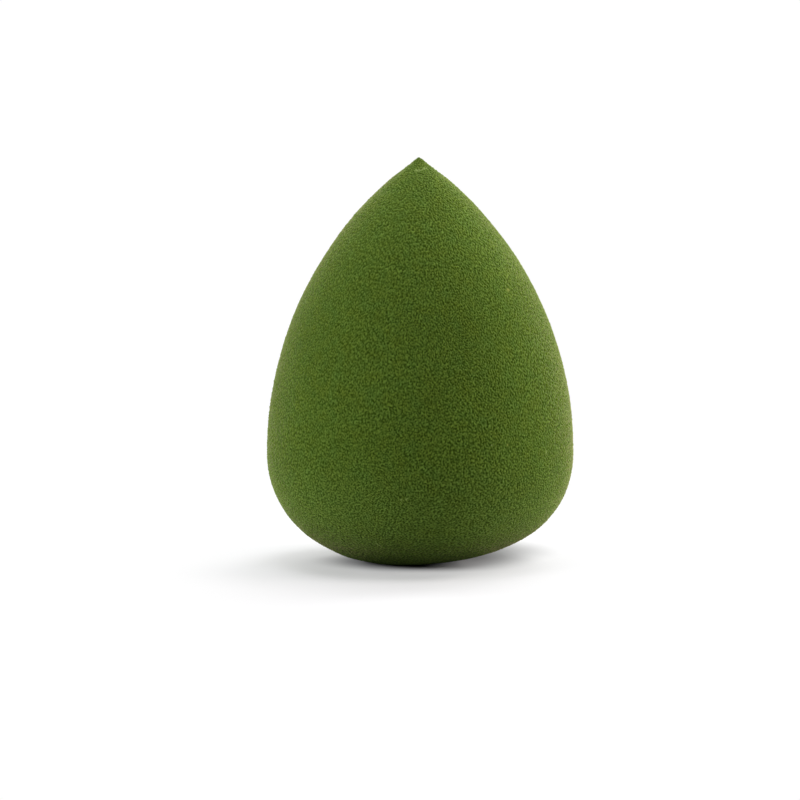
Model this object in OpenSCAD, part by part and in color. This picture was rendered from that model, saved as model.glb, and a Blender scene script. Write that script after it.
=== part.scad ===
// Makeup sponge: one piece of soft foam, ground to a pointed egg that stands on a small flat foot.
// Its outline is four arcs that run smoothly into each other: the domed underside that the foot cuts flat,
// the turn below the fullest level, the long side, and the rounded point.

/* [Overall] */
// Height from the foot to the point
height = 60; // [52:0.5:75]
// Diameter at the fullest level
width = 45.2; // [40:0.2:54]

/* [Point] */
// Radius of the rounded point
tip_r = 0.4; // [0.2:0.1:4]

/* [Lower end] */
// Radius of the turn between the underside and the fullest level
turn_r = 14.6; // [8:0.2:15]
// Radius of the domed underside
dome_r = 31; // [29:0.5:45]
// Diameter of the flat foot
foot_d = 12.4; // [6:0.2:14]

/* [Hidden] */

// Sides of a full circle, which also sets the steps along the outline's arcs
$fn = 144;

full_r = width / 2;
foot_r = foot_d / 2;

// Centre of the dome, on the axis, where the dome is as wide as the foot at the floor
dome_c = [0, sqrt(pow(dome_r, 2) - pow(foot_r, 2))];

// Centre of the turn, whose circle touches the dome's from inside and reaches out to the full width
turn_x = full_r - turn_r;
full_h = dome_c.y - sqrt(pow(dome_r - turn_r, 2) - pow(turn_x, 2));
turn_c = [turn_x, full_h];

// Centre of the point's round, on the axis
tip_c = [0, height - tip_r];

// Centre of the side, level with the turn's, so that the side stands upright where they meet.
// The radius is the one whose circle touches the point's round.
rise = tip_c.y - full_h;
side_r = (pow(full_r, 2) + pow(rise, 2) - pow(tip_r, 2)) / (2 * (full_r - tip_r));
side_c = [full_r - side_r, full_h];

// Angles above the horizontal at which one arc hands over to the next
foot_angle = atan2(-dome_c.y, foot_r);
dome_angle = atan2(full_h - dome_c.y, turn_x);
side_angle = atan2(rise, side_r - full_r);

// Points along an arc, without its first one, which ends the stretch before it
function arc(centre, r, from, to) =
    let (steps = ceil((to - from) / 360 * $fn))
    [for (i = [1:steps]) let (a = from + (to - from) * i / steps) centre + r * [cos(a), sin(a)]];

// Right-hand half of the section through the axis, from the foot's middle round to the point
function half_section() = concat(
    [[0, 0], [foot_r, 0]],
    arc(dome_c, dome_r, foot_angle, dome_angle),
    arc(turn_c, turn_r, dome_angle, 0),
    arc(side_c, side_r, 0, side_angle),
    arc(tip_c, tip_r, side_angle, 90)
);

module sponge() {
    color([0.25, 0.32, 0.10]) rotate_extrude() polygon(half_section());
}

sponge();
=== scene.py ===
"""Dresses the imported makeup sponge: its pored foam, the white table, the studio light and the camera."""

import logging
import math
from dataclasses import dataclass, field
from typing import Any, NamedTuple

import bmesh
import bpy
import numpy as np
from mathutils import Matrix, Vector, noise

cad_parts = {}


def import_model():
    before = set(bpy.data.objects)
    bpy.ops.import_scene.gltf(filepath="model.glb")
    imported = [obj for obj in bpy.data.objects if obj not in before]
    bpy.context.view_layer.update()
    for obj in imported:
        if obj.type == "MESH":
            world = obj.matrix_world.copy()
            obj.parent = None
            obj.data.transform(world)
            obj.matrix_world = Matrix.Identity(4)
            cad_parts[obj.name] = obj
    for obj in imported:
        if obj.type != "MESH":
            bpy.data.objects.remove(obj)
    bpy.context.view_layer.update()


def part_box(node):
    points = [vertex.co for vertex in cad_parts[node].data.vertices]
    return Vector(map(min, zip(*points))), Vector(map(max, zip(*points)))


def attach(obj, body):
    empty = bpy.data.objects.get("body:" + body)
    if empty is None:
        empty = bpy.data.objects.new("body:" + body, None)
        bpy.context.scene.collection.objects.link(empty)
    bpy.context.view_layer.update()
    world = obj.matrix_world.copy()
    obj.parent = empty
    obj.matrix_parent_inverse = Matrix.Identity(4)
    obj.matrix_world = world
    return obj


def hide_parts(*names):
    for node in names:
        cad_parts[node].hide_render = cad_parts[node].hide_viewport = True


Pair = tuple[float, float]
Triple = tuple[float, float, float]
Colour = tuple[float, float, float, float]

MM = 0.001
NODE = "sponge"
BODY = "root"
# Name of the foam's map, which is the icosahedron's net
BAKE_MAP = "OFBake"
# Corners of an icosahedron whose edges are cut into n stretches each: this many times n squared, and two
BALL_CORNERS = 10
# Least length that a direction is divided by, so that nothing on the axis is divided by zero
TINY = 1e-9

WHITE = (1.0, 1.0, 1.0, 1.0)
# Colour of the lamps on the right, a little warmer than the others
WARM = (1.06, 0.985, 0.94)
# Widths and heights of the long low lamps at the sides and of the small ones that light the rims, in metres
STRIP = (0.3, 0.12)
RIM = (0.2, 0.06)

log = logging.getLogger("makeup_sponge")


@dataclass(frozen=True)
class Arc:
    """Stretch of a circle in the plane through the axis, in metres and radians above the horizontal."""

    centre: Pair
    radius: float
    start: float
    end: float

    def spots(self, steps: int) -> np.ndarray:
        """Places along the arc.

        Args:
            steps: How many equal stretches the arc is cut into.

        Returns:
            Rows of distance from the axis, height and the two parts of the outward direction.
        """
        angle = np.linspace(self.start, self.end, steps + 1)
        out = np.stack([np.cos(angle), np.sin(angle)], axis=1)
        return np.hstack([np.array(self.centre) + self.radius * out, out])


@dataclass
class Outline:
    """The sponge's half outline: foot, domed underside, turn, long side and rounded point.

    Places on it are asked for by the share of the whole skin that lies below them, so that even steps
    over a ball come out as even steps over the sponge.
    """

    height: float
    width: float
    tip_r: float = 0.4 * MM
    turn_r: float = 14.6 * MM
    dome_r: float = 31.0 * MM
    foot_d: float = 12.4 * MM
    steps: int = 400
    area: float = field(default=0.0, init=False)
    _spots: np.ndarray | None = field(default=None, init=False, repr=False)
    _shares: np.ndarray | None = field(default=None, init=False, repr=False)

    def __post_init__(self) -> None:
        """Walks the outline once and adds up the skin that each step sweeps round the axis."""
        foot = np.zeros((self.steps + 1, 4))
        foot[:, 0], foot[:, 3] = np.linspace(0.0, self.foot_d / 2, self.steps + 1), -1.0
        self._spots = np.vstack([foot, *(arc.spots(self.steps) for arc in self.arcs())])
        radius = self._spots[:, 0]
        step = np.linalg.norm(np.diff(self._spots[:, :2], axis=0), axis=1)
        below = np.concatenate([[0.0], np.cumsum(math.pi * (radius[1:] + radius[:-1]) * step)])
        self.area = float(below[-1])
        self._shares = below / self.area

    def arcs(self) -> list[Arc]:
        """The four arcs, which run into each other smoothly.

        Returns:
            The arcs from the foot's rim up to the point.
        """
        full_r, foot_r = self.width / 2, self.foot_d / 2
        dome_h = math.sqrt(self.dome_r**2 - foot_r**2)
        turn_x = full_r - self.turn_r
        full_h = dome_h - math.sqrt((self.dome_r - self.turn_r) ** 2 - turn_x**2)
        rise = self.height - self.tip_r - full_h
        side_r = (full_r**2 + rise**2 - self.tip_r**2) / (2 * (full_r - self.tip_r))
        foot_angle = math.atan2(-dome_h, foot_r)
        dome_angle = math.atan2(full_h - dome_h, turn_x)
        side_angle = math.atan2(rise, side_r - full_r)
        return [
            Arc((0.0, dome_h), self.dome_r, foot_angle, dome_angle),
            Arc((turn_x, full_h), self.turn_r, dome_angle, 0.0),
            Arc((full_r - side_r, full_h), side_r, 0.0, side_angle),
            Arc((0.0, self.height - self.tip_r), self.tip_r, side_angle, math.pi / 2),
        ]

    def at(self, share: np.ndarray) -> np.ndarray:
        """Finds the places that have these shares of the skin below them.

        Args:
            share: From 0 at the middle of the foot to 1 at the point.

        Returns:
            Rows of distance from the axis, height and the two parts of the outward direction.
        """
        return np.stack([np.interp(share, self._shares, column) for column in self._spots.T], axis=1)


def smooth(value: np.ndarray, low: float, high: float) -> np.ndarray:
    """Rises from 0 at low to 1 at high with a level start and end.

    Args:
        value: The numbers to place between the two ends.
        low: Where the rise starts.
        high: Where the rise ends.

    Returns:
        Shares from 0 to 1.
    """
    share = np.clip((value - low) / (high - low), 0.0, 1.0)
    return share * share * (3.0 - 2.0 * share)


def even_ball(count: float) -> bpy.types.Mesh:
    """Makes a ball whose corners lie evenly, as a subdivided icosahedron.

    Args:
        count: About how many corners it has.

    Returns:
        The ball, of radius 1, with the icosahedron's net as its map.
    """
    ball = bmesh.new()
    ball.loops.layers.uv.new(BAKE_MAP)
    bmesh.ops.create_icosphere(ball, subdivisions=1, radius=1.0, calc_uvs=True)
    cuts = round(math.sqrt(count / BALL_CORNERS)) - 1
    bmesh.ops.subdivide_edges(ball, edges=ball.edges, cuts=cuts, use_grid_fill=True)
    for face in ball.faces:
        face.smooth = True
    mesh = bpy.data.meshes.new("foam_body")
    ball.to_mesh(mesh)
    ball.free()
    return mesh


def read(items: Any, name: str, width: int, kind: type = np.float64) -> np.ndarray:
    """Copies one property of all of a mesh's items.

    Args:
        items: The mesh's vertices, edges or the data of an attribute.
        name: The property.
        width: How many numbers each item has.
        kind: The type of number.

    Returns:
        One row per item.
    """
    values = np.empty(len(items) * width, dtype=kind)
    items.foreach_get(name, values)
    return values.reshape(len(items), width)


@dataclass(frozen=True)
class Pores:
    """Small pores and walls all over the skin.

    They are random grain, evened out over a short length, less the taken share of what is left of it when it
    is evened out further. A corner keeps its own share of its number in each round, and gets the rest from
    its neighbours.
    """

    own_share: float = 0.28
    rounds: int = 4
    taken: float = 0.69
    seed: int = 5

    def cut(self, mesh: bpy.types.Mesh) -> np.ndarray:
        """Spreads the pores over a mesh.

        Args:
            mesh: The mesh, whose corners lie evenly.

        Returns:
            A number for each corner, below 0 in a pore and above 0 on a wall, with a spread of 1.
        """
        edges = read(mesh.edges, "vertices", 2, np.int32)
        grain = np.random.default_rng(self.seed).standard_normal(len(mesh.vertices))
        fine = self.even_out(grain, edges, 1)
        wall = fine - self.taken * self.even_out(fine, edges, self.rounds)
        return (wall - wall.mean()) / wall.std()

    def even_out(self, values: np.ndarray, edges: np.ndarray, rounds: int) -> np.ndarray:
        """Gives each corner the mean of itself and its neighbours, a number of times over.

        Args:
            values: One number for each corner.
            edges: The two corners of each edge.
            rounds: How many times.

        Returns:
            The evened numbers.
        """
        start, end = edges.T
        size = len(values)
        shared = np.bincount(start, minlength=size) + np.bincount(end, minlength=size)
        for _ in range(rounds):
            near = (np.bincount(start, values[end], size) + np.bincount(end, values[start], size)) / shared
            values = self.own_share * values + (1.0 - self.own_share) * near
        return values


class Sock:
    """A shader socket whose arithmetic adds Math nodes."""

    def __init__(self, graph: "Graph", socket: bpy.types.NodeSocket) -> None:
        """Wraps one output socket of a graph."""
        self.graph, self.socket = graph, socket

    def _math(self, operation: str, *values: Any) -> "Sock":
        """Adds one Math node and returns its output."""
        return self.graph.add("ShaderNodeMath", {"operation": operation}, dict(enumerate(values)))

    def __add__(self, other: Any) -> "Sock":
        """Sum of the two."""
        return self._math("ADD", self, other)

    def __sub__(self, other: Any) -> "Sock":
        """The other taken from this one."""
        return self._math("SUBTRACT", self, other)

    def __rsub__(self, other: Any) -> "Sock":
        """This one taken from the other."""
        return self._math("SUBTRACT", other, self)

    def __mul__(self, other: Any) -> "Sock":
        """Product of the two."""
        return self._math("MULTIPLY", self, other)

    __radd__, __rmul__ = __add__, __mul__

    def or_more(self, other: Any) -> "Sock":
        """The larger of the two."""
        return self._math("MAXIMUM", self, other)

    def ramp(self, low: float, high: float) -> "Sock":
        """Rises smoothly from 0 at low to 1 at high.

        Args:
            low: Input that gives 0.
            high: Input that gives 1.

        Returns:
            The share from 0 to 1.
        """
        inputs = {"Value": self, "From Min": low, "From Max": high}
        return self.graph.add("ShaderNodeMapRange", {"interpolation_type": "SMOOTHSTEP"}, inputs)


class Graph:
    """The node tree of one material or of the world."""

    def __init__(self, tree: bpy.types.NodeTree) -> None:
        """Empties the tree, so that every node in it is one that the graph adds."""
        self.tree = tree
        tree.nodes.clear()

    def add(
        self, kind: str, settings: dict[str, Any], inputs: dict[Any, Any], output: int | str = 0
    ) -> Sock:
        """Adds a node.

        Args:
            kind: The node's type.
            settings: Its own settings, which are set first.
            inputs: Values or sockets by input name or number.
            output: Which output to return.

        Returns:
            The chosen output.
        """
        node = self.tree.nodes.new(kind)
        for name, value in settings.items():
            setattr(node, name, value)
        for name, value in inputs.items():
            if isinstance(value, Sock):
                self.tree.links.new(value.socket, node.inputs[name])
            else:
                node.inputs[name].default_value = value
        return Sock(self, node.outputs[output] if node.outputs else None)

    def mix_colour(self, share: Any, low: Any, high: Any) -> Sock:
        """Blends two colours.

        Args:
            share: 0 gives low and 1 gives high.
            low: A colour or a colour socket.
            high: A colour or a colour socket.

        Returns:
            The blended colour.
        """
        inputs = {"Factor": share, 6: low, 7: high}
        return self.add("ShaderNodeMix", {"data_type": "RGBA"}, inputs, 2)

    def mix_shader(self, share: Any, low: Sock, high: Sock) -> Sock:
        """Blends two shaders.

        Args:
            share: 0 gives low and 1 gives high.
            low: A shader.
            high: A shader.

        Returns:
            The blended shader.
        """
        return self.add("ShaderNodeMixShader", {}, {0: share, 1: low, 2: high})

    def diffuse(self, colour: Triple) -> Sock:
        """A matt shader."""
        return self.add("ShaderNodeBsdfDiffuse", {}, {"Color": (*colour, 1.0)})

    def glow(self, strength: float) -> Sock:
        """A shader that gives white light, or none at a strength of 0."""
        return self.add("ShaderNodeEmission", {}, {"Color": WHITE, "Strength": strength})

    def place(self) -> Sock:
        """The object's own coordinates, in metres."""
        return self.add("ShaderNodeTexCoord", {}, {}, "Object")

    def spaced(self, shift: Triple, scale: Triple = (1.0, 1.0, 1.0)) -> Sock:
        """Distance from a spot on the object, with each direction counted at a scale of its own.

        Args:
            shift: What is added to the scaled coordinates, so the spot's own ones with their signs turned.
            scale: What each coordinate is multiplied by first.

        Returns:
            The distance, in metres.
        """
        inputs = {"Vector": self.place(), "Location": shift, "Scale": scale}
        place = self.add("ShaderNodeMapping", {"vector_type": "POINT"}, inputs)
        return self.add("ShaderNodeVectorMath", {"operation": "LENGTH"}, {0: place}, "Value")

    def cloud(self, size: float, detail: float = 2.0) -> Sock:
        """Soft random pattern from 0 to 1 on the object's own coordinates.

        Args:
            size: Size of its largest patches, in metres.
            detail: How many finer layers it has.

        Returns:
            The pattern, which stays round one half.
        """
        inputs = {"Vector": self.place(), "Scale": 1.0 / size, "Detail": detail}
        return self.add("ShaderNodeTexNoise", {}, inputs, "Fac")

    def seen_directly(self) -> Sock:
        """Tells the camera's rays from the light's own.

        Returns:
            1 for a ray from the camera, also by way of a glossy or clear surface, and 0 for any other.
        """
        camera, glossy, clear = (
            self.add("ShaderNodeLightPath", {}, {}, name)
            for name in ("Is Camera Ray", "Is Glossy Ray", "Is Transmission Ray")
        )
        return camera.or_more(glossy).or_more(clear)


@dataclass(frozen=True)
class FoamFinish:
    """Dyed foam: bright walls, pores darkened with painted shade, soft patches of uneven dye and a faint
    sheen.
    Colours are linear.

    Large patches make the dye lighter and darker, by half the patch depth at most. Small ones change its
    red, green and blue, by half of the tone's shares at most. Lint and stains hide the mark cover of it. The
    pale dusty colour on the lower walls is partly painted bounce light from the table.
    """

    wall: Colour = (0.180, 0.299, 0.0400, 1.0)
    # The pore colour is the foam's colour darkened with painted shade of the pore hollows
    pore: Colour = (0.037, 0.074, 0.0010, 1.0)
    # Pale dusty colour of the lower walls, partly painted bounce light from the table
    dust_and_bounce_light: Colour = (0.32, 0.50, 0.11, 1.0)
    lint: Colour = (0.42, 0.56, 0.17, 1.0)
    stain: Colour = (0.37, 0.40, 0.08, 1.0)
    mark_cover: float = 0.5
    patch_size: float = 7.0 * MM
    patch_depth: float = 0.16
    tone_size: float = 2.0 * MM
    tone: Triple = (0.27, 0.0, -0.55)
    roughness: float = 0.95
    specular: float = 0.15
    sheen: float = 0.60
    sheen_roughness: float = 0.3
    sheen_tint: Colour = (1.0, 0.79, 0.49, 1.0)

    def build(self) -> bpy.types.Material:
        """Makes the material.

        Returns:
            The material, which reads the wall, dust, lint, stain and shade attributes of the foam's mesh.
        """
        material = bpy.data.materials.new("olive_foam")
        material.use_nodes = True
        graph = Graph(material.node_tree)
        wall, dust_and_bounce_light, lint, stain, shade = (
            graph.add("ShaderNodeAttribute", {"attribute_name": name}, {}, "Fac")
            for name in ("wall", "dust_and_bounce_light", "lint", "stain", "shade")
        )
        patch = (graph.cloud(self.patch_size) - 0.5) * self.patch_depth + 1.0
        tone = graph.cloud(self.tone_size) - 0.5
        channels = {channel: tone * share + patch for channel, share in enumerate(self.tone)}
        tint = graph.add("ShaderNodeCombineXYZ", {}, channels)
        # The pores' painted shade is mixed in here, by the wall share
        dye = graph.mix_colour(wall, self.pore, self.wall)
        dye = graph.add("ShaderNodeVectorMath", {"operation": "MULTIPLY"}, {0: dye, 1: tint})
        # Lower walls: pale dusty colour, partly painted bounce light from the table
        dye = graph.mix_colour(dust_and_bounce_light, dye, self.dust_and_bounce_light)
        dye = graph.mix_colour(lint * self.mark_cover, dye, self.lint)
        dye = graph.mix_colour(stain * self.mark_cover, dye, self.stain)
        # Painted shade: at the very foot a copy without sheen is used, for the contact shadow there
        foam, shaded = self.skin(graph, dye, self.sheen), self.skin(graph, dye, 0.0)
        graph.add("ShaderNodeOutputMaterial", {}, {"Surface": graph.mix_shader(shade, foam, shaded)})
        return material

    def skin(self, graph: Graph, dye: Sock, sheen: float) -> Sock:
        """Makes the matt surface.

        Args:
            graph: The material's nodes.
            dye: The foam's colour, with painted shade in the pores and painted bounce light on the lower
                walls.
            sheen: How strongly the fine walls catch light from the side.

        Returns:
            The shader.
        """
        inputs = {
            "Base Color": dye,
            "Roughness": self.roughness,
            "Specular IOR Level": self.specular,
            "Sheen Weight": sheen,
            "Sheen Roughness": self.sheen_roughness,
            "Sheen Tint": self.sheen_tint,
        }
        return graph.add("ShaderNodeBsdfPrincipled", {}, inputs)


@dataclass(frozen=True)
class Fleck:
    """Small mark on the skin: where it is, how long and wide, and how far it leans from level, in degrees.

    It covers the skin evenly over the solid share of its length and width and thins out from there.
    """

    height: float
    azimuth: float
    length: float
    width: float
    lean: float = 0.0
    solid_share: float = 0.5

    def cover(self, place: np.ndarray) -> np.ndarray:
        """Tells how much of the mark lies on each place.

        Args:
            place: Rows of places on the skin.

        Returns:
            1 inside the mark, falling to 0 round its edge.
        """
        turn, lean = math.radians(self.azimuth), math.radians(self.lean)
        radius = np.hypot(place[:, 0], place[:, 1])
        away = np.arctan2(place[:, 0], -place[:, 1]) - turn
        across = radius * ((away + math.pi) % (2.0 * math.pi) - math.pi)
        up = place[:, 2] - self.height
        along = across * math.cos(lean) + up * math.sin(lean)
        aside = up * math.cos(lean) - across * math.sin(lean)
        out = np.hypot(along / (self.length / 2), aside / (self.width / 2))
        return 1.0 - smooth(out, self.solid_share, 1.0)


class Departure(NamedTuple):
    """How far the hand-ground sponge departs from its plain outline at one height, all in millimetres."""

    height: float
    aside: float = 0.0
    outward: float = 0.0
    up: float = 0.0


@dataclass
class Sponge:
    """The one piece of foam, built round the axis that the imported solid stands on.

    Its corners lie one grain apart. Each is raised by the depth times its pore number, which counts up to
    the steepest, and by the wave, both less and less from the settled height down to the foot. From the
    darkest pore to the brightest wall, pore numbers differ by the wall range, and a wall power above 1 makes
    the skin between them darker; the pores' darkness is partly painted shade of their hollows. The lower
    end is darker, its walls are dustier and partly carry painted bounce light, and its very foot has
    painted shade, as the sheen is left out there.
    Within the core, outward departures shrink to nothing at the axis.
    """

    outline: Outline
    pores: Pores = Pores()
    grain: float = 0.108 * MM
    depth: float = 0.034 * MM
    steepest: float = 3.0
    wall_range: float = 3.75
    wall_power: float = 1.3
    wave: float = 0.06 * MM
    wave_size: float = 9.0 * MM
    settled_height: float = 2.5 * MM
    core: float = 3.0 * MM
    low_dark: float = 0.12
    # How much pale dusty colour, partly painted bounce light, the lower walls get
    low_dust_and_bounce_light: float = 0.26
    low_from: float = 8.0 * MM
    low_to: float = 20.0 * MM
    shade_from: float = 0.8 * MM
    shade_to: float = 4.0 * MM
    shape: tuple[Departure, ...] = (
        Departure(0.0, aside=-2.20, outward=-1.00),
        Departure(1.0, aside=-1.40, outward=0.08),
        Departure(2.0, aside=-0.75, outward=0.17),
        Departure(3.0, aside=-0.50, outward=0.13),
        Departure(5.0, aside=-0.24, outward=0.08),
        Departure(9.0, aside=-0.03, outward=0.07),
        Departure(18.0, outward=0.02),
        Departure(30.0, outward=0.06),
        Departure(45.0, aside=-0.08, outward=0.02),
        Departure(52.0, aside=-0.15, up=-0.05),
        Departure(57.0, aside=-0.20, up=-0.17),
        Departure(59.3, aside=-0.18, outward=-0.30, up=-0.23),
        Departure(60.0, aside=-0.22, up=-0.24),
    )
    lint: tuple[Fleck, ...] = (
        Fleck(57.95 * MM, -9.0, 1.4 * MM, 0.38 * MM),
        Fleck(58.2 * MM, 17.0, 1.4 * MM, 0.30 * MM, lean=12.0),
        Fleck(19.4 * MM, 26.7, 0.4 * MM, 0.3 * MM),
        Fleck(17.6 * MM, 53.4, 1.1 * MM, 0.25 * MM, lean=70.0),
        Fleck(11.75 * MM, -7.4, 0.35 * MM, 0.3 * MM),
        Fleck(11.85 * MM, -5.4, 0.7 * MM, 0.24 * MM, lean=40.0),
        Fleck(4.5 * MM, -20.8, 1.4 * MM, 0.22 * MM, lean=-50.0),
    )
    stains: tuple[Fleck, ...] = (
        Fleck(41.0 * MM, 50.0, 0.9 * MM, 0.6 * MM),
        Fleck(19.3 * MM, 33.5, 0.45 * MM, 0.4 * MM),
    )

    def build(self) -> bpy.types.Object:
        """Makes the foam's mesh and object and dresses it.

        Returns:
            The finished piece.
        """
        skin_per_corner = self.grain**2 * math.sqrt(3.0) / 2.0
        mesh = even_ball(self.outline.area / skin_per_corner)
        wall = self.pores.cut(mesh)
        place, out = self.skin(read(mesh.vertices, "co", 3))
        # Low wall shares get the pore colour, with its painted shade
        share = np.clip(0.5 + wall / self.wall_range, 0.0, 1.0) ** self.wall_power
        low = 1.0 - smooth(place[:, 2], self.low_from, self.low_to)
        self.paint(mesh, "wall", share - self.low_dark * low)
        # Pale dusty colour on the lower walls, partly painted bounce light, grows with the wall share
        self.paint(mesh, "dust_and_bounce_light", share * self.low_dust_and_bounce_light * low)
        self.paint(mesh, "lint", sum(fleck.cover(place) for fleck in self.lint))
        self.paint(mesh, "stain", sum(fleck.cover(place) for fleck in self.stains))
        # Painted shade at the foot: the sheen is left out there, where the table's contact shadow falls
        self.paint(mesh, "shade", 1.0 - smooth(place[:, 2], self.shade_from, self.shade_to))
        rise = np.clip(wall, -self.steepest, self.steepest) * self.depth
        rise *= smooth(place[:, 2], -self.depth, self.settled_height)
        mesh.vertices.foreach_set("co", (place + out * rise[:, None]).ravel())
        mesh.update()
        mesh.materials.append(FoamFinish().build())
        piece = bpy.data.objects.new("foam_body", mesh)
        bpy.context.scene.collection.objects.link(piece)
        return piece

    def paint(self, mesh: bpy.types.Mesh, name: str, values: np.ndarray) -> None:
        """Keeps one number per corner for the material to read.

        Args:
            mesh: The mesh.
            name: The attribute's name.
            values: One number for each corner, kept between 0 and 1.
        """
        attribute = mesh.attributes.new(name, "FLOAT", "POINT")
        attribute.data.foreach_set("value", np.clip(values, 0.0, 1.0).astype(np.float32))

    def depart(self, height: np.ndarray) -> np.ndarray:
        """Looks up how far the hand-ground shape departs from the plain outline.

        Args:
            height: Heights on the plain outline.

        Returns:
            Rows of the distance sideways, outward and up, in metres.
        """
        table = np.array(self.shape) * MM
        return np.array([np.interp(height, table[:, 0], column) for column in table[:, 1:].T])

    def skin(self, ball: np.ndarray) -> tuple[np.ndarray, np.ndarray]:
        """Carries points of the ball to the uncut skin.

        Args:
            ball: Rows of points, which needn't lie quite on the ball.

        Returns:
            The places on the skin, and the outward directions there.
        """
        ball = ball / np.linalg.norm(ball, axis=1)[:, None]
        ring = ball[:, :2] / np.maximum(np.linalg.norm(ball[:, :2], axis=1), TINY)[:, None]
        radius, height, out_r, out_z = self.outline.at((1.0 + ball[:, 2]) / 2.0).T
        out = np.column_stack([ring * out_r[:, None], out_z])
        aside, outward, up = self.depart(height)
        wider = 1.0 + outward / np.maximum(radius, self.core)
        place = np.column_stack([ring * (radius * wider)[:, None], height + up])
        swell = np.array([noise.noise(Vector(row)) for row in place / self.wave_size]) * self.wave
        place += out * (swell * smooth(height, 0.0, self.settled_height))[:, None]
        place[:, 0] += aside
        return place, out


@dataclass(frozen=True)
class Patch:
    """Patch of the table, whole as far out as near and gone from far on.

    Its level is the light that it gives the sponge, or, for a patch that dims the table, the share of the
    table's light that is left there.
    """

    place: Pair
    level: float
    near: float = 8.0 * MM
    far: float = 22.0 * MM


@dataclass(frozen=True)
class TableFinish:
    """White table, which shows the camera one thing and gives the sponge another.

    It shows its lit colour and a glow, which is painted light; the glow is missing near the sponge, which
    paints a dark contact shadow there. The table fades to plain white further off, and a painted shadow dims
    it at the back on the right. It gives the sponge its bounce, which is missing near the foot, and the
    light of the patches at the sides. A shift moves its area to the left. A scale makes an area that many
    times shallower, or narrower and shallower, and the fade depth makes its own that many times deeper.
    """

    lit: Triple = (0.506, 0.510, 0.526)
    glow: float = 0.42
    glow_from: float = 8.0 * MM
    glow_to: float = 18.0 * MM
    glow_shift: float = -0.8 * MM
    glow_scale: float = 1.3
    fade_from: float = 5.0 * MM
    fade_to: float = 38.0 * MM
    fade_depth: float = 4.0
    fade_shift: float = 5.0 * MM
    white: float = 1.01
    # Patch of painted shadow at the back on the right, where the table keeps only this share of its light
    shadow_patch: Patch = Patch((9.0 * MM, 11.0 * MM), level=0.42, near=2.0 * MM, far=13.0 * MM)
    shadow_patch_scale: float = 0.75
    bounce: Triple = (0.49, 0.49, 0.49)
    bounce_from: float = 16.0 * MM
    bounce_to: float = 30.0 * MM
    bounce_shift: float = 1.0 * MM
    bounce_scale: Pair = (0.85, 1.7)
    sides: tuple[Patch, ...] = (
        Patch((36.0 * MM, -3.0 * MM), level=1.62),
        Patch((-36.0 * MM, -3.0 * MM), level=1.40),
    )

    def build(self) -> bpy.types.Material:
        """Makes the material.

        Returns:
            The material, which lights the sponge less than it shows.
        """
        material = bpy.data.materials.new("white_table")
        material.use_nodes = True
        graph = Graph(material.node_tree)
        surface = graph.mix_shader(graph.seen_directly(), self.given(graph), self.shown(graph))
        graph.add("ShaderNodeOutputMaterial", {}, {"Surface": surface})
        return material

    def shown(self, graph: Graph) -> Sock:
        """Makes what the camera sees of the table.

        Args:
            graph: The material's nodes.

        Returns:
            The shader.
        """
        # Painted light: the glow lifts the table's shade, and is missing near the foot, which paints the
        # contact shadow
        away = graph.spaced((self.glow_shift, 0.0, 0.0), (1.0, self.glow_scale, 1.0))
        glow = away.ramp(self.glow_from, self.glow_to)
        glow = graph.mix_shader(glow, graph.glow(0.0), graph.glow(self.glow))
        shaded = graph.add("ShaderNodeAddShader", {}, {0: graph.diffuse(self.lit), 1: glow})
        aside = graph.spaced((self.fade_shift, 0.0, 0.0), (1.0, 1.0 / self.fade_depth, 1.0))
        table = graph.mix_shader(aside.ramp(self.fade_from, self.fade_to), shaded, graph.glow(self.white))
        # Painted shadow at the back on the right
        shadow_patch, scale = self.shadow_patch, self.shadow_patch_scale
        gap = graph.spaced((-shadow_patch.place[0], -shadow_patch.place[1] * scale, 0.0), (1.0, scale, 1.0))
        left = gap.ramp(shadow_patch.near, shadow_patch.far) * (1.0 - shadow_patch.level) + shadow_patch.level
        return graph.mix_shader(left, graph.glow(0.0), table)

    def given(self, graph: Graph) -> Sock:
        """Makes what the table throws back at the sponge.

        Args:
            graph: The material's nodes.

        Returns:
            The shader.
        """
        table = graph.diffuse(self.bounce)
        for side in self.sides:
            gap = graph.spaced((-side.place[0], -side.place[1], 0.0))
            table = graph.mix_shader(gap.ramp(side.near, side.far), graph.glow(side.level), table)
        under = graph.spaced((self.bounce_shift, 0.0, 0.0), (*self.bounce_scale, 1.0))
        return graph.mix_shader(under.ramp(self.bounce_from, self.bounce_to), graph.glow(0.0), table)


@dataclass(frozen=True)
class Softbox:
    """A flat lamp that faces the sponge from a distance of its own.

    Its level is how bright it makes a white card that faces it, where 1 is plain white.
    """

    name: str
    azimuth: float
    elevation: float
    level: float
    size: Pair = (0.3, 0.3)
    distance: float = 0.7
    colour: Triple = WHITE[:3]

    def build(self, target: Vector) -> None:
        """Makes the lamp.

        Args:
            target: The point that it faces.
        """
        lamp = bpy.data.lights.new(self.name, "AREA")
        lamp.shape = "RECTANGLE"
        lamp.size, lamp.size_y = self.size
        lamp.color = self.colour
        lamp.energy = self.level * (math.pi * self.distance) ** 2
        holder = bpy.data.objects.new(self.name, lamp)
        back = from_angles(self.azimuth, self.elevation)
        holder.location = target + back * self.distance
        holder.rotation_euler = (-back).to_track_quat("-Z", "Y").to_euler()
        bpy.context.scene.collection.objects.link(holder)


def from_angles(azimuth: float, elevation: float) -> Vector:
    """Direction from the sponge to a lamp or camera.

    Args:
        azimuth: Degrees round the axis, 0 in front, where the camera is, and 90 on the picture's right.
        elevation: Degrees above the horizon.

    Returns:
        The direction, of length 1.
    """
    turn, rise = math.radians(azimuth), math.radians(elevation)
    return Vector((math.sin(turn) * math.cos(rise), -math.cos(turn) * math.cos(rise), math.sin(rise)))


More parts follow.
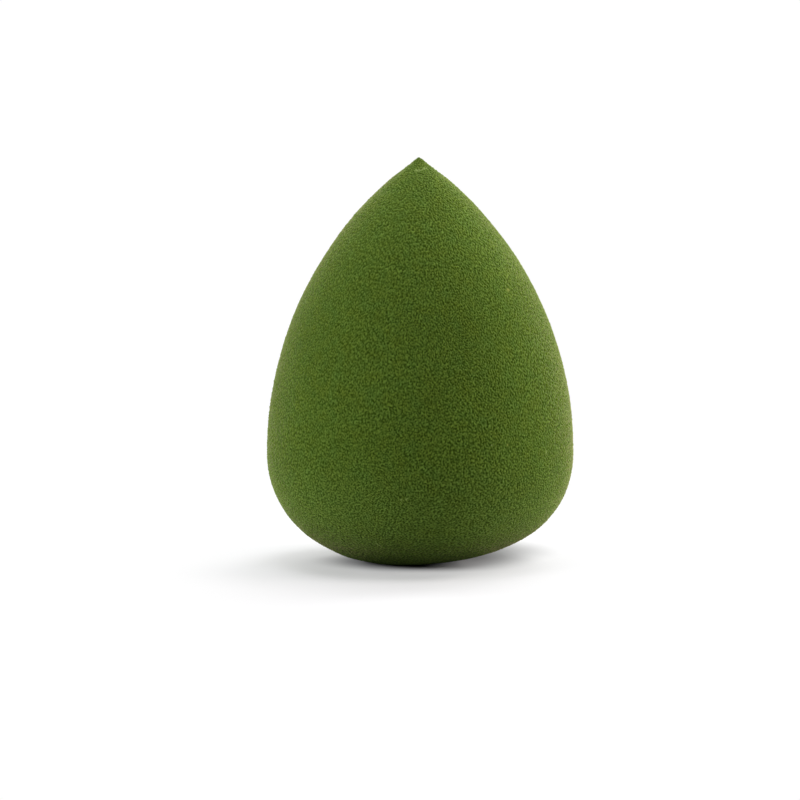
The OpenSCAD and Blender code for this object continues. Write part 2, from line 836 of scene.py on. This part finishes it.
@dataclass
class Studio:
    """Table, lamps, world and camera."""

    middle: Vector
    table_size: float = 2.0
    world_white: float = 1.01
    lamps: tuple[Softbox, ...] = (
        Softbox("left_softbox", azimuth=-75.0, elevation=12.0, level=0.44, size=STRIP),
        Softbox("right_softbox", azimuth=90.0, elevation=12.0, level=0.41, size=STRIP, colour=WARM),
        Softbox("right_high_softbox", azimuth=90.0, elevation=55.0, level=0.30, colour=WARM),
        Softbox("right_back_softbox", azimuth=150.0, elevation=55.0, level=0.55),
        Softbox("left_back_softbox", azimuth=-150.0, elevation=55.0, level=0.21),
        Softbox("top_softbox", azimuth=0.0, elevation=85.0, level=0.28),
        Softbox("right_rim_softbox", azimuth=140.0, elevation=10.0, level=0.42, size=RIM, colour=WARM),
        Softbox("left_rim_softbox", azimuth=-140.0, elevation=10.0, level=0.28, size=RIM),
    )
    camera_elevation: float = 5.5
    camera_distance: float = 600.0 * MM
    lens: float = 182.7
    clip: Pair = (10.0 * MM, 10.0)
    aim: Pair = (-3.00 * MM, 23.95 * MM)

    def build(self) -> None:
        """Makes everything that isn't the sponge."""
        self.build_table()
        self.build_world()
        for lamp in self.lamps:
            lamp.build(self.middle)
        self.build_camera()

    def build_table(self) -> None:
        """Lays a flat sheet at the height of the sponge's foot."""
        sheet = bmesh.new()
        bmesh.ops.create_grid(sheet, x_segments=1, y_segments=1, size=self.table_size / 2)
        mesh = bpy.data.meshes.new("table")
        sheet.to_mesh(mesh)
        sheet.free()
        mesh.materials.append(TableFinish().build())
        table = bpy.data.objects.new("table", mesh)
        bpy.context.scene.collection.objects.link(table)

    def build_world(self) -> None:
        """Shows the room as white, while it gives no light."""
        world = bpy.data.worlds.new("studio")
        world.use_nodes = True
        bpy.context.scene.world = world
        graph = Graph(world.node_tree)
        strength = graph.seen_directly() * self.world_white
        room = graph.add("ShaderNodeBackground", {}, {"Color": WHITE, "Strength": strength})
        graph.add("ShaderNodeOutputWorld", {}, {"Surface": room})

    def build_camera(self) -> None:
        """Sets the camera where the photograph's was, aimed a little to the left of the sponge's axis."""
        scene = bpy.context.scene
        data = bpy.data.cameras.new("camera")
        data.lens = self.lens
        data.clip_start, data.clip_end = self.clip
        camera = bpy.data.objects.new("camera", data)
        back = from_angles(0.0, self.camera_elevation)
        camera.location = Vector((self.aim[0], 0.0, self.aim[1])) + back * self.camera_distance
        camera.rotation_euler = (-back).to_track_quat("-Z", "Y").to_euler()
        scene.collection.objects.link(camera)
        scene.camera = camera
        scene.view_settings.view_transform = "Standard"


def main() -> None:
    """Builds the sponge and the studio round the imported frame."""
    logging.basicConfig(level=logging.INFO, format="%(message)s")
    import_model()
    low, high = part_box(NODE)
    outline = Outline(height=high.z - low.z, width=high.x - low.x)
    foam = Sponge(outline).build()
    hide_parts(NODE)
    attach(foam, BODY)
    log.info("%s: %d faces", foam.name, len(foam.data.polygons))
    Studio((low + high) / 2).build()


if __name__ == "__main__":
    main()
